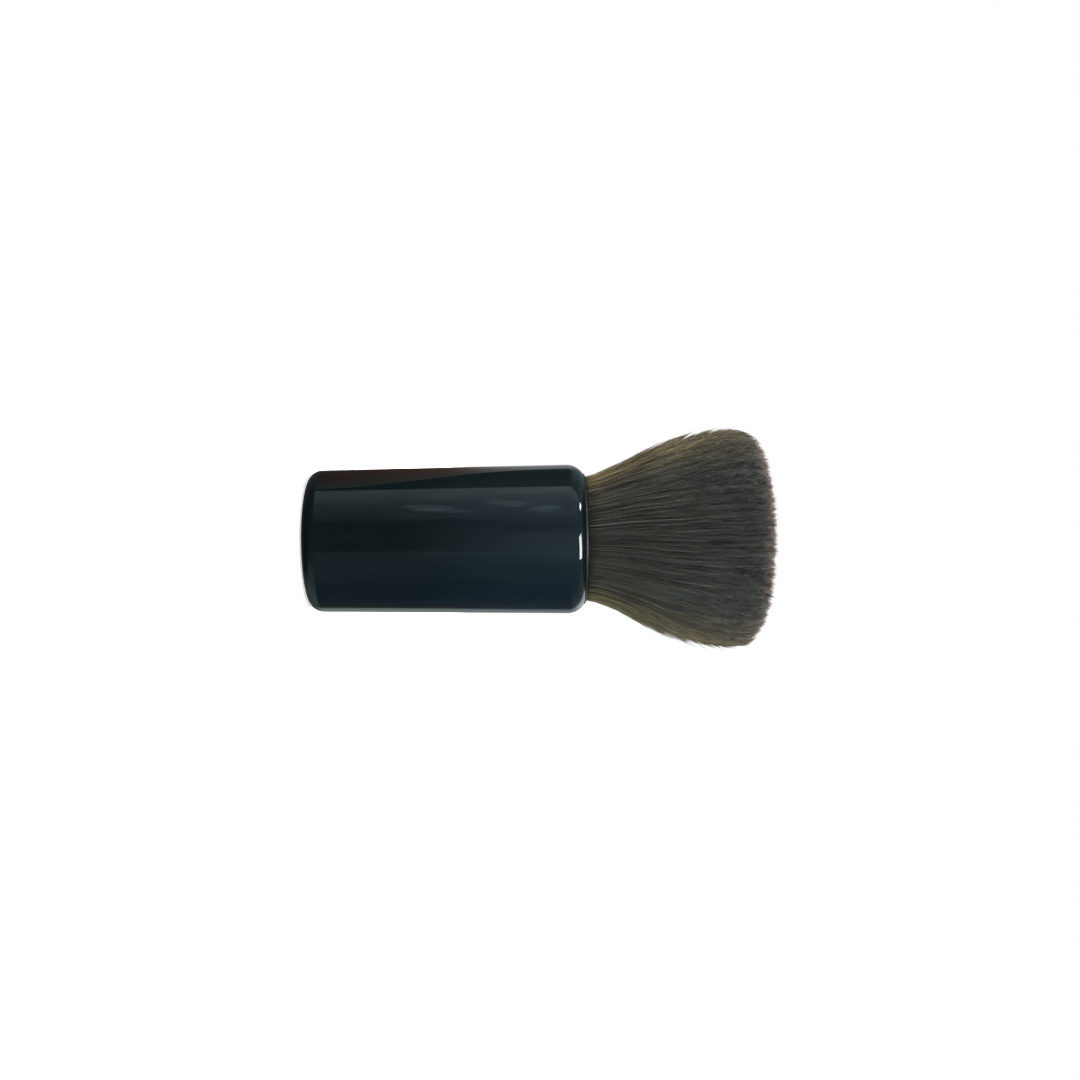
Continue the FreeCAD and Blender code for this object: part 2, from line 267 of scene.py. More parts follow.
STRAND_DARK = (0.018, 0.020, 0.017)
STRAND_LIGHT = (0.164, 0.164, 0.138)
STRAND_WARM = (0.095, 0.081, 0.061)
BACKLIT_DARK = (0.062, 0.050, 0.026)  # painted backlight: golden colours for the sides towards -X and +X, in place of light shining through the edge strands
BACKLIT_LIGHT = (0.310, 0.252, 0.130)
STRAND_TIP = (0.133, 0.094, 0.077)
TIP_LENGTH_MM = 2.0  # the red-brown end of a strand
STRAND_SHADE_BY_HEIGHT = [  # painted shade by height, from 0 at the mouth to 1 at the crown: darker near the mouth and much darker towards the crown
    (0.00, (0.87, 0.83, 0.76)),
    (0.20, (0.88, 0.85, 0.81)),
    (0.45, (1.00, 1.00, 1.00)),
    (0.62, (0.85, 0.84, 0.86)),
    (0.80, (0.57, 0.56, 0.585)),
    (1.00, (0.56, 0.545, 0.57)),
]


def filament(name):
    """Dark synthetic filament: each strand and each clump has its own tone, and a red-brown tip.

    Near the mouth the tone follows the direction from the axis, and near the crown the clump.
    """
    material, n = new_material(name)
    height = n.add("SeparateXYZ")
    n.link(n.object_space(), height.inputs[0])
    up = n.map_range(height.outputs["Z"], MOUTH, CROWN)
    by_lock = n.map_range(up, 0.0, 0.7, 0.3, 0.65)
    shade = n.mix(by_lock, n.attribute("streak"), n.attribute("lock"))
    tone = n.mix(0.15, shade, n.attribute("strand"))
    grey = n.mix(tone, (*STRAND_DARK, 1), (*STRAND_LIGHT, 1))
    brown = n.mix(n.attribute("warmth"), grey, (*STRAND_WARM, 1))
    # painted shade: the strands are darkened near the mouth and more towards the crown, where the
    # lamps light the tuft more strongly
    height_shade = n.ramp(up, STRAND_SHADE_BY_HEIGHT)
    # painted backlight: strands towards -X and +X get a golden colour in place of light shining
    # through the bundle's edges
    golden = n.mix(tone, (*BACKLIT_DARK, 1), (*BACKLIT_LIGHT, 1))
    body = n.mix(1.0, n.mix(n.attribute("backlit_glow"), brown, golden), height_shade, "MULTIPLY")
    tip = n.map_range(n.attribute("tip_distance"), 0.0, TIP_LENGTH_MM, 1.0, 0.0, smooth=True)
    strength = n.math("MULTIPLY", tip, n.attribute("tip_tint"))
    colour = n.mix(strength, body, (*STRAND_TIP, 1))
    n.surface(Base_Color=colour, Roughness=0.42, IOR=1.5)
    return material


def core_mass(name):
    """The shaded depth of the bundle, streaked along the strands."""
    material, n = new_material(name)
    lines = n.noise(1500.0, 3.0, n.object_space((1.0, 1.0, 0.04)))
    tone = n.map_range(lines, 0.35, 0.65)
    colour = n.mix(tone, (0.04, 0.04, 0.034, 1), (0.08, 0.08, 0.066, 1))
    normal = n.bump(lines, 0.8, 0.4 * MM)
    n.surface(Base_Color=colour, Roughness=0.6, Normal=normal)
    return material


# --- strands ---------------------------------------------------------------------------------

SIDES = 3
SEED = 20
CLUMP_RISE = 0.32 * MM  # spread of the clumps' tips about the cut face
EDGE_RISE = 0.45 * MM  # and how much more it is at the bundle's edge
EDGE_RING = (0.81, 1.0)  # where that extra comes in, as shares of the bundle's radius
TIP_SHORTFALL = 0.25 * MM  # mean distance by which a strand ends short of it
CLUMP_TWIST = 0.008  # radians, from mouth to crown
STRAND_TWIST = 0.010
GATHER_LENGTH = 4.5 * MM  # of a clump's tips
TAPER_LENGTH = 5.0 * MM  # of a strand's tip
LEAST_LENGTH = 6 * MM  # of the part of a strand that is made
RING_CROWDING = 1.6  # the power that crowds a strand's rings towards its tip
STRAY_CUT = 16 * MM  # how much shorter than the rest the shortest stray is
FURROW_DEPTH = 0.034  # as a share of the bundle's radius
FURROW_RING = (0.75, 0.93)  # where the furrows come in, from the inside out
FURROW_WAVES = ((58, 0.9), (91, 3.1), (131, 5.0))  # waves round the bundle, and phase
FURROW_WANDER = 2.3
STREAK_WANDER = 1.7  # how unevenly the streaks are spaced
STREAK_WAVES = (  # waves round the bundle, phase and weight
    (23, 0.4, 0.15),
    (37, 3.6, 0.22),
    (61, 2.1, 0.42),
    (91, 0.7, 0.42),
    (113, 4.4, 0.36),
    (191, 1.3, 0.40),
    (307, 5.2, 0.25),
)
BACKLIT_SIDE = (0.62, 1.0)  # cosines of the angle from the X axis where the painted backlight colour comes in
TINTED_FROM = 139 * MM  # strands that end lower have no red-brown tip
TINTED_FULLY = 144 * MM


def smooth_step(low, high, value):
    t = np.clip((value - low) / (high - low), 0.0, 1.0)
    return t * t * (3 - 2 * t)


def on_disc(u, angle, z):
    """Points of the bundle at share u of its radius and at height z."""
    radius = u * flare(z)
    return np.stack([radius * np.cos(angle) - sway(z), radius * np.sin(angle)], axis=-1)


def scatter_clumps(rng, count, inner, outer):
    """Centres of clumps, evenly spread by area over a ring of the bundle, as (u, angle)."""
    golden = math.pi * (3 - math.sqrt(5))
    index = np.arange(count)
    area = inner**2 + (outer**2 - inner**2) * (index + 0.5) / count
    u = np.sqrt(area) + rng.normal(0, 0.006, count)
    angle = index * golden + rng.normal(0, 0.02, count)
    return u, angle


def streaks(angle):
    """Tone from 0 to 1 by direction from the axis, in locks of several widths."""
    tone = np.zeros(np.shape(angle))
    for waves, phase, weight in STREAK_WAVES:
        wander = STREAK_WANDER * np.sin((waves // 7) * angle + phase)
        tone = tone + weight * np.sin(waves * angle + phase + wander)
    return np.clip(0.5 + 0.5 * tone, 0, 1)


def furrows(angle):
    """Depth from 0 to 1 of the grooves between the locks, by direction from the axis."""
    depth = np.zeros(np.shape(angle))
    for waves, phase in FURROW_WAVES:
        wander = FURROW_WANDER * np.sin((waves // 6) * angle + 2 * phase)
        depth = np.maximum(depth, (0.5 + 0.5 * np.sin(waves * angle + phase + wander)) ** 8)
    return depth


def sunk(angle, u):
    """What the furrows leave of the radius, as a share of it."""
    return 1 - FURROW_DEPTH * furrows(angle) * smooth_step(*FURROW_RING, u)


def make_strands(
    rng, clumps, per_clump, spread, rings, start_of, width, gathering, shorter=0.0, over=None
):
    """Strand paths and attributes, clump by clump.

    clumps are the clumps' places, as (u, angle). spread is how far strands lie from their clump's
    middle, as a share of the bundle's radius. start_of gives the height where a strand starts by
    its u. gathering is how far a clump's tips draw together, from 0 to 1, and shorter is how far
    below the cut the shortest clump ends. Strands with over bend inwards along the cut's rounded
    edge, to end at a share of the radius in that range.
    """
    clump_u, clump_angle = clumps
    clump_count = len(clump_u)
    count = clump_count * per_clump
    owner = np.repeat(np.arange(clump_count), per_clump)
    reach = spread * np.sqrt(rng.random(count))
    turn = rng.random(count) * 2 * math.pi
    owner_u, owner_angle = clump_u[owner], clump_angle[owner]
    x = owner_u * np.cos(owner_angle) + reach * np.cos(turn)
    y = owner_u * np.sin(owner_angle) + reach * np.sin(turn)
    angle = np.arctan2(y, x)
    u = np.minimum(np.hypot(x, y), 1.0)
    u = u * sunk(angle, u)
    guide_u = owner_u * sunk(clump_angle, clump_u)[owner]

    unevenness = CLUMP_RISE + EDGE_RISE * smooth_step(*EDGE_RING, clump_u)
    rise = unevenness * rng.normal(0, 1, clump_count) - shorter * rng.random(clump_count) ** 2
    tip_u = u if over is None else np.minimum(u, rng.uniform(*over, clump_count)[owner])
    tip = cut_height(tip_u) - CUT_TILT * u * np.cos(angle)
    tip = tip + rise[owner] - rng.exponential(TIP_SHORTFALL, count)
    start = np.minimum(start_of(u), tip - LEAST_LENGTH)
    share = 1 - (1 - np.linspace(0, 1, rings)) ** RING_CROWDING
    z = start[:, None] + (tip - start)[:, None] * share[None, :]

    clump_twist = rng.normal(0, CLUMP_TWIST, clump_count)[owner]
    twist = clump_twist + rng.normal(0, STRAND_TWIST, count)
    length = smooth_step(MOUTH, CROWN, z)
    lean = angle[:, None] + twist[:, None] * length
    clump_lean = owner_angle[:, None] + clump_twist[:, None] * length
    edge = 1.0 if over is None else cut_share(z)
    own = on_disc(np.minimum(u[:, None], edge), lean, z)
    guide = on_disc(np.minimum(guide_u[:, None], edge), clump_lean, z)
    to_tip = tip[:, None] - z
    gather = gathering * (1 - smooth_step(0.0, GATHER_LENGTH, to_tip))
    flat = own + (guide - own) * gather[..., None]
    path = np.concatenate([flat, z[..., None]], axis=-1)

    thickness = width * (0.8 + 0.4 * rng.random(count))[:, None]
    thickness = thickness * (0.4 + 0.6 * smooth_step(0.0, TAPER_LENGTH, to_tip))
    backlit_share = smooth_step(*BACKLIT_SIDE, np.abs(np.cos(angle)))
    return {
        "path": path,
        "radius": thickness / 2,
        "strand": rng.random(count),
        "lock": rng.random(clump_count)[owner],
        "streak": streaks(angle + 0.5 * twist),
        "warmth": 0.8 * streaks(angle + 2.0) * rng.random(count),
        # how much painted backlight glow a strand gets, by its side of the bundle
        "backlit_glow": backlit_share * (0.3 + 0.7 * streaks(angle + 4.0)),
        "tip_distance": to_tip / MM,
        "tip_tint": smooth_step(TINTED_FROM, TINTED_FULLY, tip),
        "angle": angle,
    }


def splay(rng, strands, per_clump, furthest, length):
    """Lets the tips of these clumps stand off the bundle's side by different amounts.

    furthest is for the clump that stands off most, and length is how much of a strand bends.
    """
    path = strands["path"]
    clumps = len(path) // per_clump
    reach = np.repeat(furthest * rng.random(clumps), per_clump)
    rise = smooth_step(length, 0.0, path[:, -1:, 2] - path[:, :, 2]) ** 2
    outward = path[..., :2] / np.linalg.norm(path[..., :2], axis=-1, keepdims=True)
    path[..., :2] += outward * (reach[:, None] * rise)[..., None]


def strand_frames(path):
    """For each point of each path, two unit vectors square to the path."""
    along = np.gradient(path, axis=1)
    along /= np.linalg.norm(along, axis=-1, keepdims=True)
    outward = path * np.array([1.0, 1.0, 0.0])
    outward /= np.maximum(np.linalg.norm(outward, axis=-1, keepdims=True), 1e-9)
    side = np.cross(along, outward)
    side /= np.maximum(np.linalg.norm(side, axis=-1, keepdims=True), 1e-9)
    return side, np.cross(side, along)


def mesh_from_arrays(name, points, quads, triangles):
    """A smooth mesh of four-cornered faces followed by three-cornered ones."""
    mesh = bpy.data.meshes.new(name)
    mesh.vertices.add(len(points))
    mesh.vertices.foreach_set("co", points.ravel())
    corners = np.concatenate([quads.ravel(), triangles.ravel()])
    quad_starts = np.arange(len(quads)) * 4
    triangle_starts = len(quads) * 4 + np.arange(len(triangles)) * 3
    starts = np.concatenate([quad_starts, triangle_starts])
    mesh.loops.add(len(corners))
    mesh.loops.foreach_set("vertex_index", corners)
    mesh.polygons.add(len(starts))
    mesh.polygons.foreach_set("loop_start", starts)
    mesh.polygons.foreach_set("use_smooth", np.ones(len(starts), dtype=bool))
    mesh.update(calc_edges=True)
    return mesh


def tube_quads(around, levels):
    """Faces of a tube of points, and the level and the side that each face starts at."""
    low, near = np.meshgrid(np.arange(levels), np.arange(around), indexing="ij")
    low, near = low.ravel(), near.ravel()
    far = (near + 1) % around
    below, above = low * around, (low + 1) * around
    return np.stack([below + near, below + far, above + far, above + near], axis=-1), low, near


CELL_COLUMNS = 128
CELL_FILL = (0.8, 0.9)  # how much of its cell a strand takes, across and up


def lay_out_cells(mesh, count, rings, low, near):
    """A UV map with a cell for each strand: round it is across the cell, and along it is up.

    It is named OFBake, and is laid out here since an automatic unwrap can't keep strands apart.
    """
    columns = min(CELL_COLUMNS, count)
    rows = math.ceil(count / columns)
    strand = np.arange(count)
    origin = np.stack([(strand % columns) / columns, (strand // columns) / rows], axis=-1)
    size = np.array([CELL_FILL[0] / columns, CELL_FILL[1] / rows])

    def spot(side, level):
        return np.stack([np.asarray(side) / SIDES, np.asarray(level) / (rings - 1)], axis=-1)

    quad = [spot(near, low), spot(near + 1, low), spot(near + 1, low + 1), spot(near, low + 1)]
    quad = np.stack(quad, axis=1)
    around = np.arange(SIDES)
    end = np.full(SIDES, rings - 2)
    tip = np.stack([spot(around, end), spot(around + 1, end), spot(around + 0.5, end + 1)], axis=1)
    foot = spot(around[::-1], np.zeros(SIDES))[None]
    triangle = np.concatenate([tip, foot])
    quads = (origin[:, None, None] + quad[None] * size).reshape(-1, 2)
    triangles = (origin[:, None, None] + triangle[None] * size).reshape(-1, 2)
    layer = mesh.uv_layers.new(name="OFBake")
    layer.data.foreach_set("uv", np.concatenate([quads, triangles]).ravel())


def strand_mesh(name, strands, chosen):
    """One closed tapered prism for each chosen strand, as a single mesh."""
    path = strands["path"][chosen]
    radius = strands["radius"][chosen]
    count, rings = path.shape[:2]
    side, outward = strand_frames(path)
    corner = np.arange(SIDES) * 2 * math.pi / SIDES
    ring = (
        path[:, :, None, :]
        + radius[:, :, None, None] * np.cos(corner)[None, None, :, None] * outward[:, :, None, :]
        + radius[:, :, None, None] * np.sin(corner)[None, None, :, None] * side[:, :, None, :]
    )
    body = ring[:, :-1].reshape(count, -1, 3)
    points = np.concatenate([body, path[:, -1:, :]], axis=1)
    stride = (rings - 1) * SIDES + 1
    base = (np.arange(count) * stride)[:, None]
    quad, low, near = tube_quads(SIDES, rings - 2)
    last = (rings - 2) * SIDES
    around = np.arange(SIDES)
    apex = np.full(SIDES, stride - 1)
    top = np.stack([last + around, last + (around + 1) % SIDES, apex], axis=-1)
    foot = np.arange(SIDES)[::-1][None, :]
    triangle = np.concatenate([top, foot])
    quads = (base[:, :, None] + quad[None]).reshape(-1, 4)
    triangles = (base[:, :, None] + triangle[None]).reshape(-1, 3)
    mesh = mesh_from_arrays(name, points.reshape(-1, 3), quads, triangles)
    lay_out_cells(mesh, count, rings, low, near)
    per_ring = np.repeat(strands["tip_distance"][chosen][:, :-1], SIDES, axis=1)
    tip_distance = np.concatenate([per_ring, np.zeros((count, 1))], axis=1)
    add_attribute(mesh, "tip_distance", tip_distance)
    for key in ("strand", "lock", "streak", "warmth", "backlit_glow", "tip_tint"):
        add_attribute(mesh, key, np.repeat(strands[key][chosen], stride))
    return mesh


def add_attribute(mesh, name, values):
    attribute = mesh.attributes.new(name, "FLOAT", "POINT")
    attribute.data.foreach_set("value", np.ascontiguousarray(values, dtype=np.float32).ravel())


def add_piece(name, mesh, material):
    """A bristle piece: it rides on the brush and stands for the CAD's plain bundle."""
    mesh.materials.append(material)
    piece = bpy.data.objects.new(name, mesh)
    bpy.context.scene.collection.objects.link(piece)
    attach(piece, "root")
    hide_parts("bristle_knot")


def add_sectors(label, strands, material, sectors):
    """Strands as several pieces, one for each sector of the bundle."""
    share = (strands["angle"] / (2 * math.pi)) % 1.0
    for sector in range(sectors):
        chosen = np.floor(share * sectors).astype(int) == sector
        name = f"{label}_{sector + 1:02d}"
        add_piece(name, strand_mesh(name, strands, chosen), material)


CORE_SHARE = 0.87  # of the bundle's radius, up to where the core closes over
CORE_SHOULDER = 112 * MM
CORE_TOP = 137 * MM
CORE_AROUND = 240  # points round the core
CORE_LEVELS = 48
CORE_FLUTES = ((0.012, 60, 0.0), (0.008, 37, 1.0))  # depth, waves round the core and phase


def add_core(material):
    """The dark mass behind the strands: a fluted flare with a rounded top."""
    t = np.linspace(0, 1, CORE_LEVELS)
    bottom = MOUTH - ROOT_DEPTH
    z = bottom + (CORE_TOP - bottom) * np.sin(t * math.pi / 2)
    rise = np.clip((z - CORE_SHOULDER) / (CORE_TOP - CORE_SHOULDER), 0, 1)
    radius = (CORE_SHARE * flare(z) * (1 - rise**5) ** 0.5)[:-1, None]
    angle = (np.arange(CORE_AROUND) * 2 * math.pi / CORE_AROUND)[None, :]
    flute = 1 + sum(depth * np.sin(angle * waves + phase) for depth, waves, phase in CORE_FLUTES)
    height = np.repeat(z[:-1, None], CORE_AROUND, axis=1)
    across, aside = radius * flute * np.cos(angle), radius * flute * np.sin(angle)
    rings = np.stack([across, aside, height], axis=-1).reshape(-1, 3)
    ends = np.array([[0.0, 0.0, CORE_TOP], [0.0, 0.0, bottom]])
    points = np.concatenate([rings, ends])
    quads, _, _ = tube_quads(CORE_AROUND, CORE_LEVELS - 2)
    last = (CORE_LEVELS - 2) * CORE_AROUND
    here = np.arange(CORE_AROUND)
    after = (here + 1) % CORE_AROUND
    top = np.stack([last + here, last + after, np.full(CORE_AROUND, len(points) - 2)], axis=-1)
    under = np.stack([after, here, np.full(CORE_AROUND, len(points) - 1)], axis=-1)
    mesh = mesh_from_arrays("bristle_core", points, quads, np.concatenate([top, under]))
    add_piece("bristle_core", mesh, material)


def visible_from(u):
    """Outer strands start in the collar, and deeper ones where the outer ones end."""
    return MOUTH - ROOT_DEPTH + smooth_step(0.91, 0.79, u) * 26 * MM


def near_tip(u):
    return cut_height(u) - 12 * MM


# The sets of strands, in the order in which they are drawn. ring is where a set's clumps stand,
# as shares of the bundle's radius. stand_off is for splay, and shape is for make_strands.
LONG = {"rings": 9, "start_of": visible_from}
SHORT = {"rings": 5, "start_of": near_tip}
STRAND_SETS = (
    {
        "label": "bristles_skin",
        "pieces": 2,
        "clumps": 1000,
        "ring": (0.87, 0.97),
        "per_clump": 5,
        "stand_off": (1.1 * MM, 7 * MM),
        "shape": {
            **LONG, "width": 0.20 * MM, "spread": 0.014, "gathering": 0.2, "over": (0.74, 0.97)
        },
    },
    {
        "label": "bristles_stray",
        "pieces": 1,
        "clumps": 420,
        "ring": (0.98, 1.0),
        "per_clump": 5,
        "stand_off": (1.8 * MM, 14 * MM),
        "shape": {
            **LONG, "width": 0.20 * MM, "spread": 0.012, "gathering": 0.6, "shorter": STRAY_CUT
        },
    },
    {
        "label": "bristles_corner",
        "pieces": 1,
        "clumps": 660,
        "ring": (0.86, 0.98),
        "per_clump": 5,
        "stand_off": (1.5 * MM, 12 * MM),
        "shape": {**LONG, "width": 0.20 * MM, "spread": 0.010, "gathering": 0.6},
    },
    {
        "label": "bristles_outer",
        "pieces": 4,
        "clumps": 1800,
        "ring": (0.75, 0.985),
        "per_clump": 8,
        "shape": {**LONG, "width": 0.21 * MM, "spread": 0.020, "gathering": 0.25},
    },
    {
        "label": "bristles_inner",
        "pieces": 3,
        "clumps": 1600,
        "ring": (0.0, 0.75),
        "per_clump": 10,
        "shape": {**SHORT, "width": 0.27 * MM, "spread": 0.024, "gathering": 0.5},
    },
)


def add_tuft():
    rng = np.random.RandomState(SEED)
    material = filament("filament")
    add_core(core_mass("bundle_depth"))
    for kind in STRAND_SETS:
        clumps = scatter_clumps(rng, kind["clumps"], *kind["ring"])
        strands = make_strands(rng, clumps, kind["per_clump"], **kind["shape"])
        if "stand_off" in kind:
            splay(rng, strands, kind["per_clump"], *kind["stand_off"])
        add_sectors(kind["label"], strands, material, kind["pieces"])


# --- light, floor and camera -----------------------------------------------------------------

MIDDLE = (0, 0, 0.09)  # of the brush, which lamps face


def add_area(name, direction, distance, size, power, colour=(1, 1, 1), mirrored_at=None):
    """A soft box in a direction from the brush, facing it.

    It shows in reflections only if it has the place where it is mirrored, and then faces that.
    """
    light = bpy.data.lights.new(name, "AREA")
    light.shape = "RECTANGLE"
    light.size, light.size_y = size
    light.energy = power
    light.color = colour
    lamp = bpy.data.objects.new(name, light)
    bpy.context.scene.collection.objects.link(lamp)
    away = Vector(direction).normalized()
    lamp.location = Vector(mirrored_at or MIDDLE) + away * distance
    lamp.rotation_mode = "QUATERNION"
    lamp.rotation_quaternion = away.to_track_quat("Z", "Y")
    lamp.visible_glossy = mirrored_at is not None


def add_lamps():
    warm, faintly_warm = (1.0, 0.89, 0.73), (1.0, 0.93, 0.82)
    add_area("key", (-0.25, -1.0, -0.3), 0.9, (0.7, 0.7), 9.0)
    add_area("rim_up", (-1.0, 0.15, -0.2), 0.7, (0.3, 0.5), 21.0, warm)
    add_area("rim_down", (1.0, 0.22, -0.2), 0.7, (0.3, 0.5), 15.0, faintly_warm)
    add_area("overhead", (0, -0.2, 1.0), 0.8, (0.6, 0.6), 1.3)
    add_area("behind", (0.1, 0.8, 1.0), 0.9, (0.7, 0.7), 15.0)
    long, small = (0.42, 0.21), (0.14, 0.085)
    front, upper = (0.003, -0.023, 0.086), (-0.010, -0.021, 0.086)  # places on the shoulder
    add_area("window_long", (0.164, -0.43, 0.89), 0.8, long, 5.4, mirrored_at=front)
    add_area("window_small", (-0.553, -0.13, 0.80), 0.8, small, 0.99, mirrored_at=upper)


# The walls' tones, by degrees round the axis from the camera's side towards -X.
BUTT_WALLS = (
    (-180, (0.22, 0.22, 0.20)),
    (-165, (0.26, 0.28, 0.26)),
    (-156, (0.44, 0.50, 0.48)),
    (-139, (0.56, 0.66, 0.66)),
    (-137, (0.09, 0.09, 0.08)),
    (-114, (0.06, 0.10, 0.14)),
    (-84, (0.07, 0.12, 0.19)),
    (-50, (0.16, 0.26, 0.33)),
    (-19, (0.20, 0.30, 0.32)),
    (-16, (0.10, 0.14, 0.16)),
    (29, (0.10, 0.14, 0.17)),
    (36, (0.20, 0.26, 0.30)),
    (60, (0.28, 0.40, 0.45)),
    (72, (0.44, 0.62, 0.66)),
    (86, (0.46, 0.64, 0.68)),
    (92, (0.40, 0.56, 0.60)),
    (180, (0.40, 0.56, 0.60)),
)
MOUTH_WALLS = (
    (-180, (0.26, 0.28, 0.26)),
    (-165, (0.32, 0.36, 0.36)),
    (-156, (0.42, 0.48, 0.48)),
    (-142, (0.46, 0.54, 0.56)),
    (-140, (0.10, 0.12, 0.14)),
    (-95, (0.10, 0.19, 0.32)),
    (-50, (0.20, 0.38, 0.50)),
    (-15, (0.42, 0.66, 0.76)),
    (8, (0.38, 0.54, 0.62)),
    (20, (0.26, 0.39, 0.46)),
    (32, (0.32, 0.44, 0.54)),
    (38, (0.42, 0.58, 0.70)),
    (62, (0.48, 0.68, 0.78)),
    (80, (0.80, 1.04, 1.10)),
    (180, (0.76, 0.98, 1.05)),
)
BEYOND_BUTT = (
    (-150, (0.14, 0.16, 0.16)),
    (-105, (0.36, 0.46, 0.48)),
    (-60, (0.30, 0.46, 0.46)),
    (-25, (0.14, 0.18, 0.20)),
    (30, (0.10, 0.13, 0.15)),
    (80, (0.08, 0.09, 0.10)),
)
WEDGE_DEGREES = (-60.0, 80.0)  # the range about the wedge's edge that its tones cover
WEDGE = [
    (0.00, (0.14, 0.20, 0.23)),
    (0.17, (0.11, 0.15, 0.17)),
    (0.30, (0.05, 0.07, 0.08)),
    (0.42, (0.03, 0.045, 0.05)),
    (0.435, (0.23, 0.20, 0.19)),
    (0.52, (0.20, 0.13, 0.11)),
    (0.60, (0.15, 0.075, 0.06)),
    (0.72, (0.09, 0.04, 0.03)),
    (0.84, (0.07, 0.04, 0.03)),
    (1.00, (0.40, 0.36, 0.34)),
]
GLINTS = (  # ((degrees round the axis, slope), half length, lean in degrees, colour)
    ((50.0, -0.085), 0.032, -5.0, (0.78, 1.02, 1.12)),
    ((57.5, -0.022), 0.022, -2.5, (0.82, 1.12, 1.22)),
    ((48.5, 0.006), 0.016, 0.0, (0.86, 1.22, 1.42)),
)
GLINT_HALF_WIDTH = 7.0  # degrees


def round_axis(n, share, tones, ease="LINEAR"):
    """Tones listed by degrees, where share runs from 0 at -180 degrees to 1 at 180."""
    return n.ramp(share, [((degrees + 180) / 360, colour) for degrees, colour in tones], ease)


def with_wedge(n, walls, turn, slope):
    """Adds a brown field whose lower edge slants: it is further up towards the mouth."""
    edge = n.map_range(slope, -0.18, 0.03, 92.0, 138.0, smooth=True)
    past_edge = n.math("SUBTRACT", n.math("MULTIPLY", turn, 180 / math.pi), edge)
    brown = n.ramp(n.map_range(past_edge, *WEDGE_DEGREES), WEDGE, "LINEAR")
    over_band = n.map_range(turn, math.radians(87.0), math.radians(89.0))
    walls = n.mix(over_band, walls, brown)
    past_wedge = n.map_range(past_edge, 0.0, 1.0)
    near_mouth = n.map_range(slope, -0.06, 0.02, smooth=True)
    return n.mix(n.math("MULTIPLY", past_wedge, near_mouth), walls, (0.50, 0.50, 0.52, 1))


def with_far_side(n, walls, turn, slope):
    """Dims the side behind the tuft, apart from a bright patch low down."""
    high = n.map_range(slope, 0.12, 0.30, smooth=True)
    behind = n.map_range(n.math("ABSOLUTE", turn), math.radians(75.0), math.radians(100.0))
    walls = n.mix(n.math("MULTIPLY", behind, high), walls, (0.20, 0.26, 0.28, 1))
    low_side = n.map_range(turn, math.radians(-135.0), math.radians(-150.0), smooth=True)
    past_mouth = n.map_range(slope, 0.12, 0.35, smooth=True)
    return n.mix(n.math("MULTIPLY", low_side, past_mouth), walls, (1.1, 1.2, 1.2, 1))


def with_glints(n, walls, turn, slope):
    """Makes the walls uneven, and adds a few frayed bright patches."""
    stretched = n.add("Mapping")
    stretched.inputs["Scale"].default_value = (12.0, 12.0, 30.0)
    n.link(n.add("TexCoord").outputs["Generated"], stretched.inputs["Vector"])
    fraying = n.noise(2.0, 3.0, stretched.outputs["Vector"])
    clouds = n.noise(0.5, 4.0, stretched.outputs["Vector"])
    shade = n.map_range(clouds, 0.3, 0.7, 0.86, 1.14)
    walls = n.mix(1.0, walls, shade, "MULTIPLY")
    half_width = math.radians(GLINT_HALF_WIDTH)
    for (degrees, middle), half_length, lean, colour in GLINTS:
        along = n.math("DIVIDE", n.math("SUBTRACT", slope, middle), half_length)
        leant = n.math("MULTIPLY", along, math.radians(lean))
        centre = n.math("ADD", math.radians(degrees), leant)
        across = n.math("DIVIDE", n.math("SUBTRACT", turn, centre), half_width)
        away = n.math("ADD", n.math("POWER", along, 2.0), n.math("POWER", across, 2.0))
        frayed = n.math("ADD", away, n.map_range(fraying, 0.3, 0.7, -0.5, 0.9))
        walls = n.mix(n.map_range(frayed, 1.2, 0.0, smooth=True), walls, (*colour, 1))
    return walls


def with_ends(n, walls, share, slope):
    """Closes the walls beyond the butt and above the crown."""
    beyond_butt = round_axis(n, share, BEYOND_BUTT, "EASE")
    walls = n.mix(n.map_range(slope, -0.17, -0.32, smooth=True), walls, beyond_butt)
    walls = n.mix(n.map_range(slope, -0.72, -0.93, smooth=True), walls, (0.06, 0.08, 0.09, 1))
    return n.mix(n.map_range(slope, 0.55, 0.85, smooth=True), walls, (0.30, 0.39, 0.41, 1))


def studio_world():
    """White to the camera. To everything else, dim walls whose tone changes round the axis.

    turn is the angle round the brush's axis, from the camera's side towards -X, and slope is how
    far a direction points towards the mouth, from -1 to 1.
    """
    world = bpy.data.worlds.new("studio")
    bpy.context.scene.world = world
    n = Nodes(world)
    direction = n.add("SeparateXYZ")
    n.link(n.add("TexCoord").outputs["Generated"], direction.inputs["Vector"])
    minus_x = n.math("MULTIPLY", direction.outputs["X"], -1.0)
    minus_y = n.math("MULTIPLY", direction.outputs["Y"], -1.0)
    turn = n.math("ARCTAN2", minus_x, minus_y)
    slope = direction.outputs["Z"]
    share = n.map_range(turn, -math.pi, math.pi)

    towards_mouth = n.map_range(slope, -0.13, 0.03, smooth=True)
    butt_walls = round_axis(n, share, BUTT_WALLS)
    walls = n.mix(towards_mouth, butt_walls, round_axis(n, share, MOUTH_WALLS))
    walls = with_wedge(n, walls, turn, slope)
    walls = with_far_side(n, walls, turn, slope)
    walls = with_glints(n, walls, turn, slope)
    walls = with_ends(n, walls, share, slope)

    to_camera = n.add("LightPath").outputs["Is Camera Ray"]
    shown = n.add("Background")
    n.link(n.mix(to_camera, walls, (1, 1, 1, 1)), shown.inputs["Color"])
    n.link(shown.outputs[0], n.add("OutputWorld").inputs["Surface"])


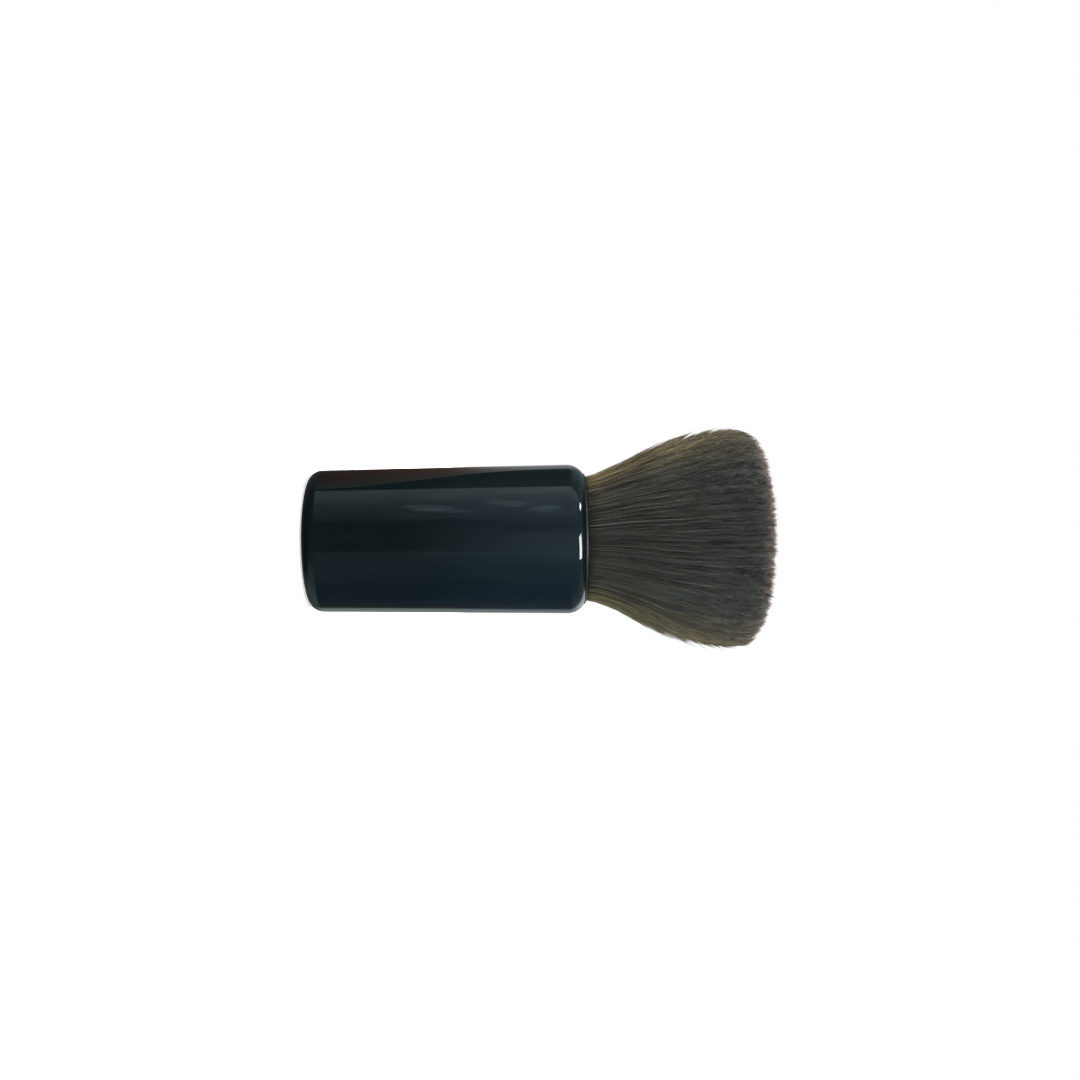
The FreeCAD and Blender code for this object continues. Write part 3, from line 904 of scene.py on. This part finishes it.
def add_floor():
    """A plain pale floor, large enough to fill the view, and just below the butt."""
    half, drop = 1.5, -0.2 * MM
    corners = [(-half, -half, drop), (half, -half, drop), (half, half, drop), (-half, half, drop)]
    mesh = bpy.data.meshes.new("floor")
    mesh.from_pydata(corners, [], [(0, 1, 2, 3)])
    floor = bpy.data.objects.new("floor", mesh)
    bpy.context.scene.collection.objects.link(floor)
    material, n = new_material("floor_paper")
    paper = n.noise(900.0, 2.0, n.object_space())
    colour = n.mix(paper, (0.86, 0.86, 0.86, 1), (0.90, 0.90, 0.90, 1))
    far = n.add("VectorMath", operation="LENGTH")
    n.link(n.object_space(), far.inputs[0])
    glow = n.map_range(far.outputs["Value"], 0.05, 0.6, 0.55, 1.0, smooth=True)
    white = (1, 1, 1, 1)
    n.surface(Base_Color=colour, Roughness=0.9, Emission_Color=white, Emission_Strength=glow)
    mesh.materials.append(material)
    floor.visible_glossy = False
    floor.visible_diffuse = False


CAMERA_DISTANCE = 390 * MM
AIM_HEIGHT = 74.1 * MM
PICTURE_WIDTH_PX = 1080
FOCAL_PX = 1200
SENSOR_MM = 36.0
TILT = math.radians(1.7)  # the bristles are this much further from the camera
ROLL = math.radians(0.52)  # and this much higher in the picture
AXIS_RISE = 0.27 * MM  # of the axis above the middle of the picture


def add_camera():
    """A pinhole camera on the -Y side, turned so that the brush lies along the picture."""
    camera = bpy.data.objects.new("camera", bpy.data.cameras.new("camera"))
    bpy.context.scene.collection.objects.link(camera)
    camera.data.sensor_width = SENSOR_MM
    camera.data.lens = SENSOR_MM * FOCAL_PX / PICTURE_WIDTH_PX
    right = Vector((0, -math.sin(TILT), math.cos(TILT)))
    back = Vector((0, -math.cos(TILT), -math.sin(TILT)))
    up = back.cross(right)
    right, up = (
        right * math.cos(ROLL) - up * math.sin(ROLL),
        up * math.cos(ROLL) + right * math.sin(ROLL),
    )
    turn = Matrix((right, up, back)).transposed()
    aim = Vector((0, 0, AIM_HEIGHT)) - up * AXIS_RISE
    camera.matrix_world = Matrix.Translation(aim + back * CAMERA_DISTANCE) @ turn.to_4x4()
    bpy.context.scene.camera = camera


def assign(node, material):
    """Gives a CAD node its material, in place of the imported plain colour."""
    for slot in bpy.data.objects[node].material_slots:
        slot.material = material


def main():
    bpy.context.scene.view_settings.view_transform = "Standard"
    studio_world()
    add_floor()
    add_camera()
    add_lamps()
    handle_tones = (0.0018, 0.0042, 0.0052), (0.0025, 0.0055, 0.0066)
    handle_gloss = gloss_plastic("handle_gloss", *handle_tones, 0.02, 0.05, 26.0, 0.3 * MM)
    assign("handle_shell", handle_gloss)
    collar_tones = (0.0020, 0.0045, 0.0056), (0.0027, 0.0058, 0.0070)
    collar_gloss = gloss_plastic("collar_gloss", *collar_tones, 0.48, 0.54, 260.0, 1.0 * MM)
    assign("collar_ring", collar_gloss)
    plug_tones = (0.010, 0.013, 0.016), (0.014, 0.018, 0.022)
    assign("base_plug", satin_plastic("plug_plastic", *plug_tones, 0.45))
    cup_plastic = satin_plastic("cup_plastic", (0.030, 0.030, 0.032), (0.040, 0.040, 0.043), 0.5)
    assign("bristle_cup", cup_plastic)
    assign("core_plug", cup_plastic)
    assign("cup_glue_ring", cloudy_resin("set_glue", (0.45, 0.40, 0.27), (0.58, 0.54, 0.42)))
    assign("resin_plug", cloudy_resin("potting_resin", (0.22, 0.14, 0.06), (0.36, 0.25, 0.12)))
    assign("knot_binding", waxed_thread("waxed_thread"))
    add_tuft()


main()
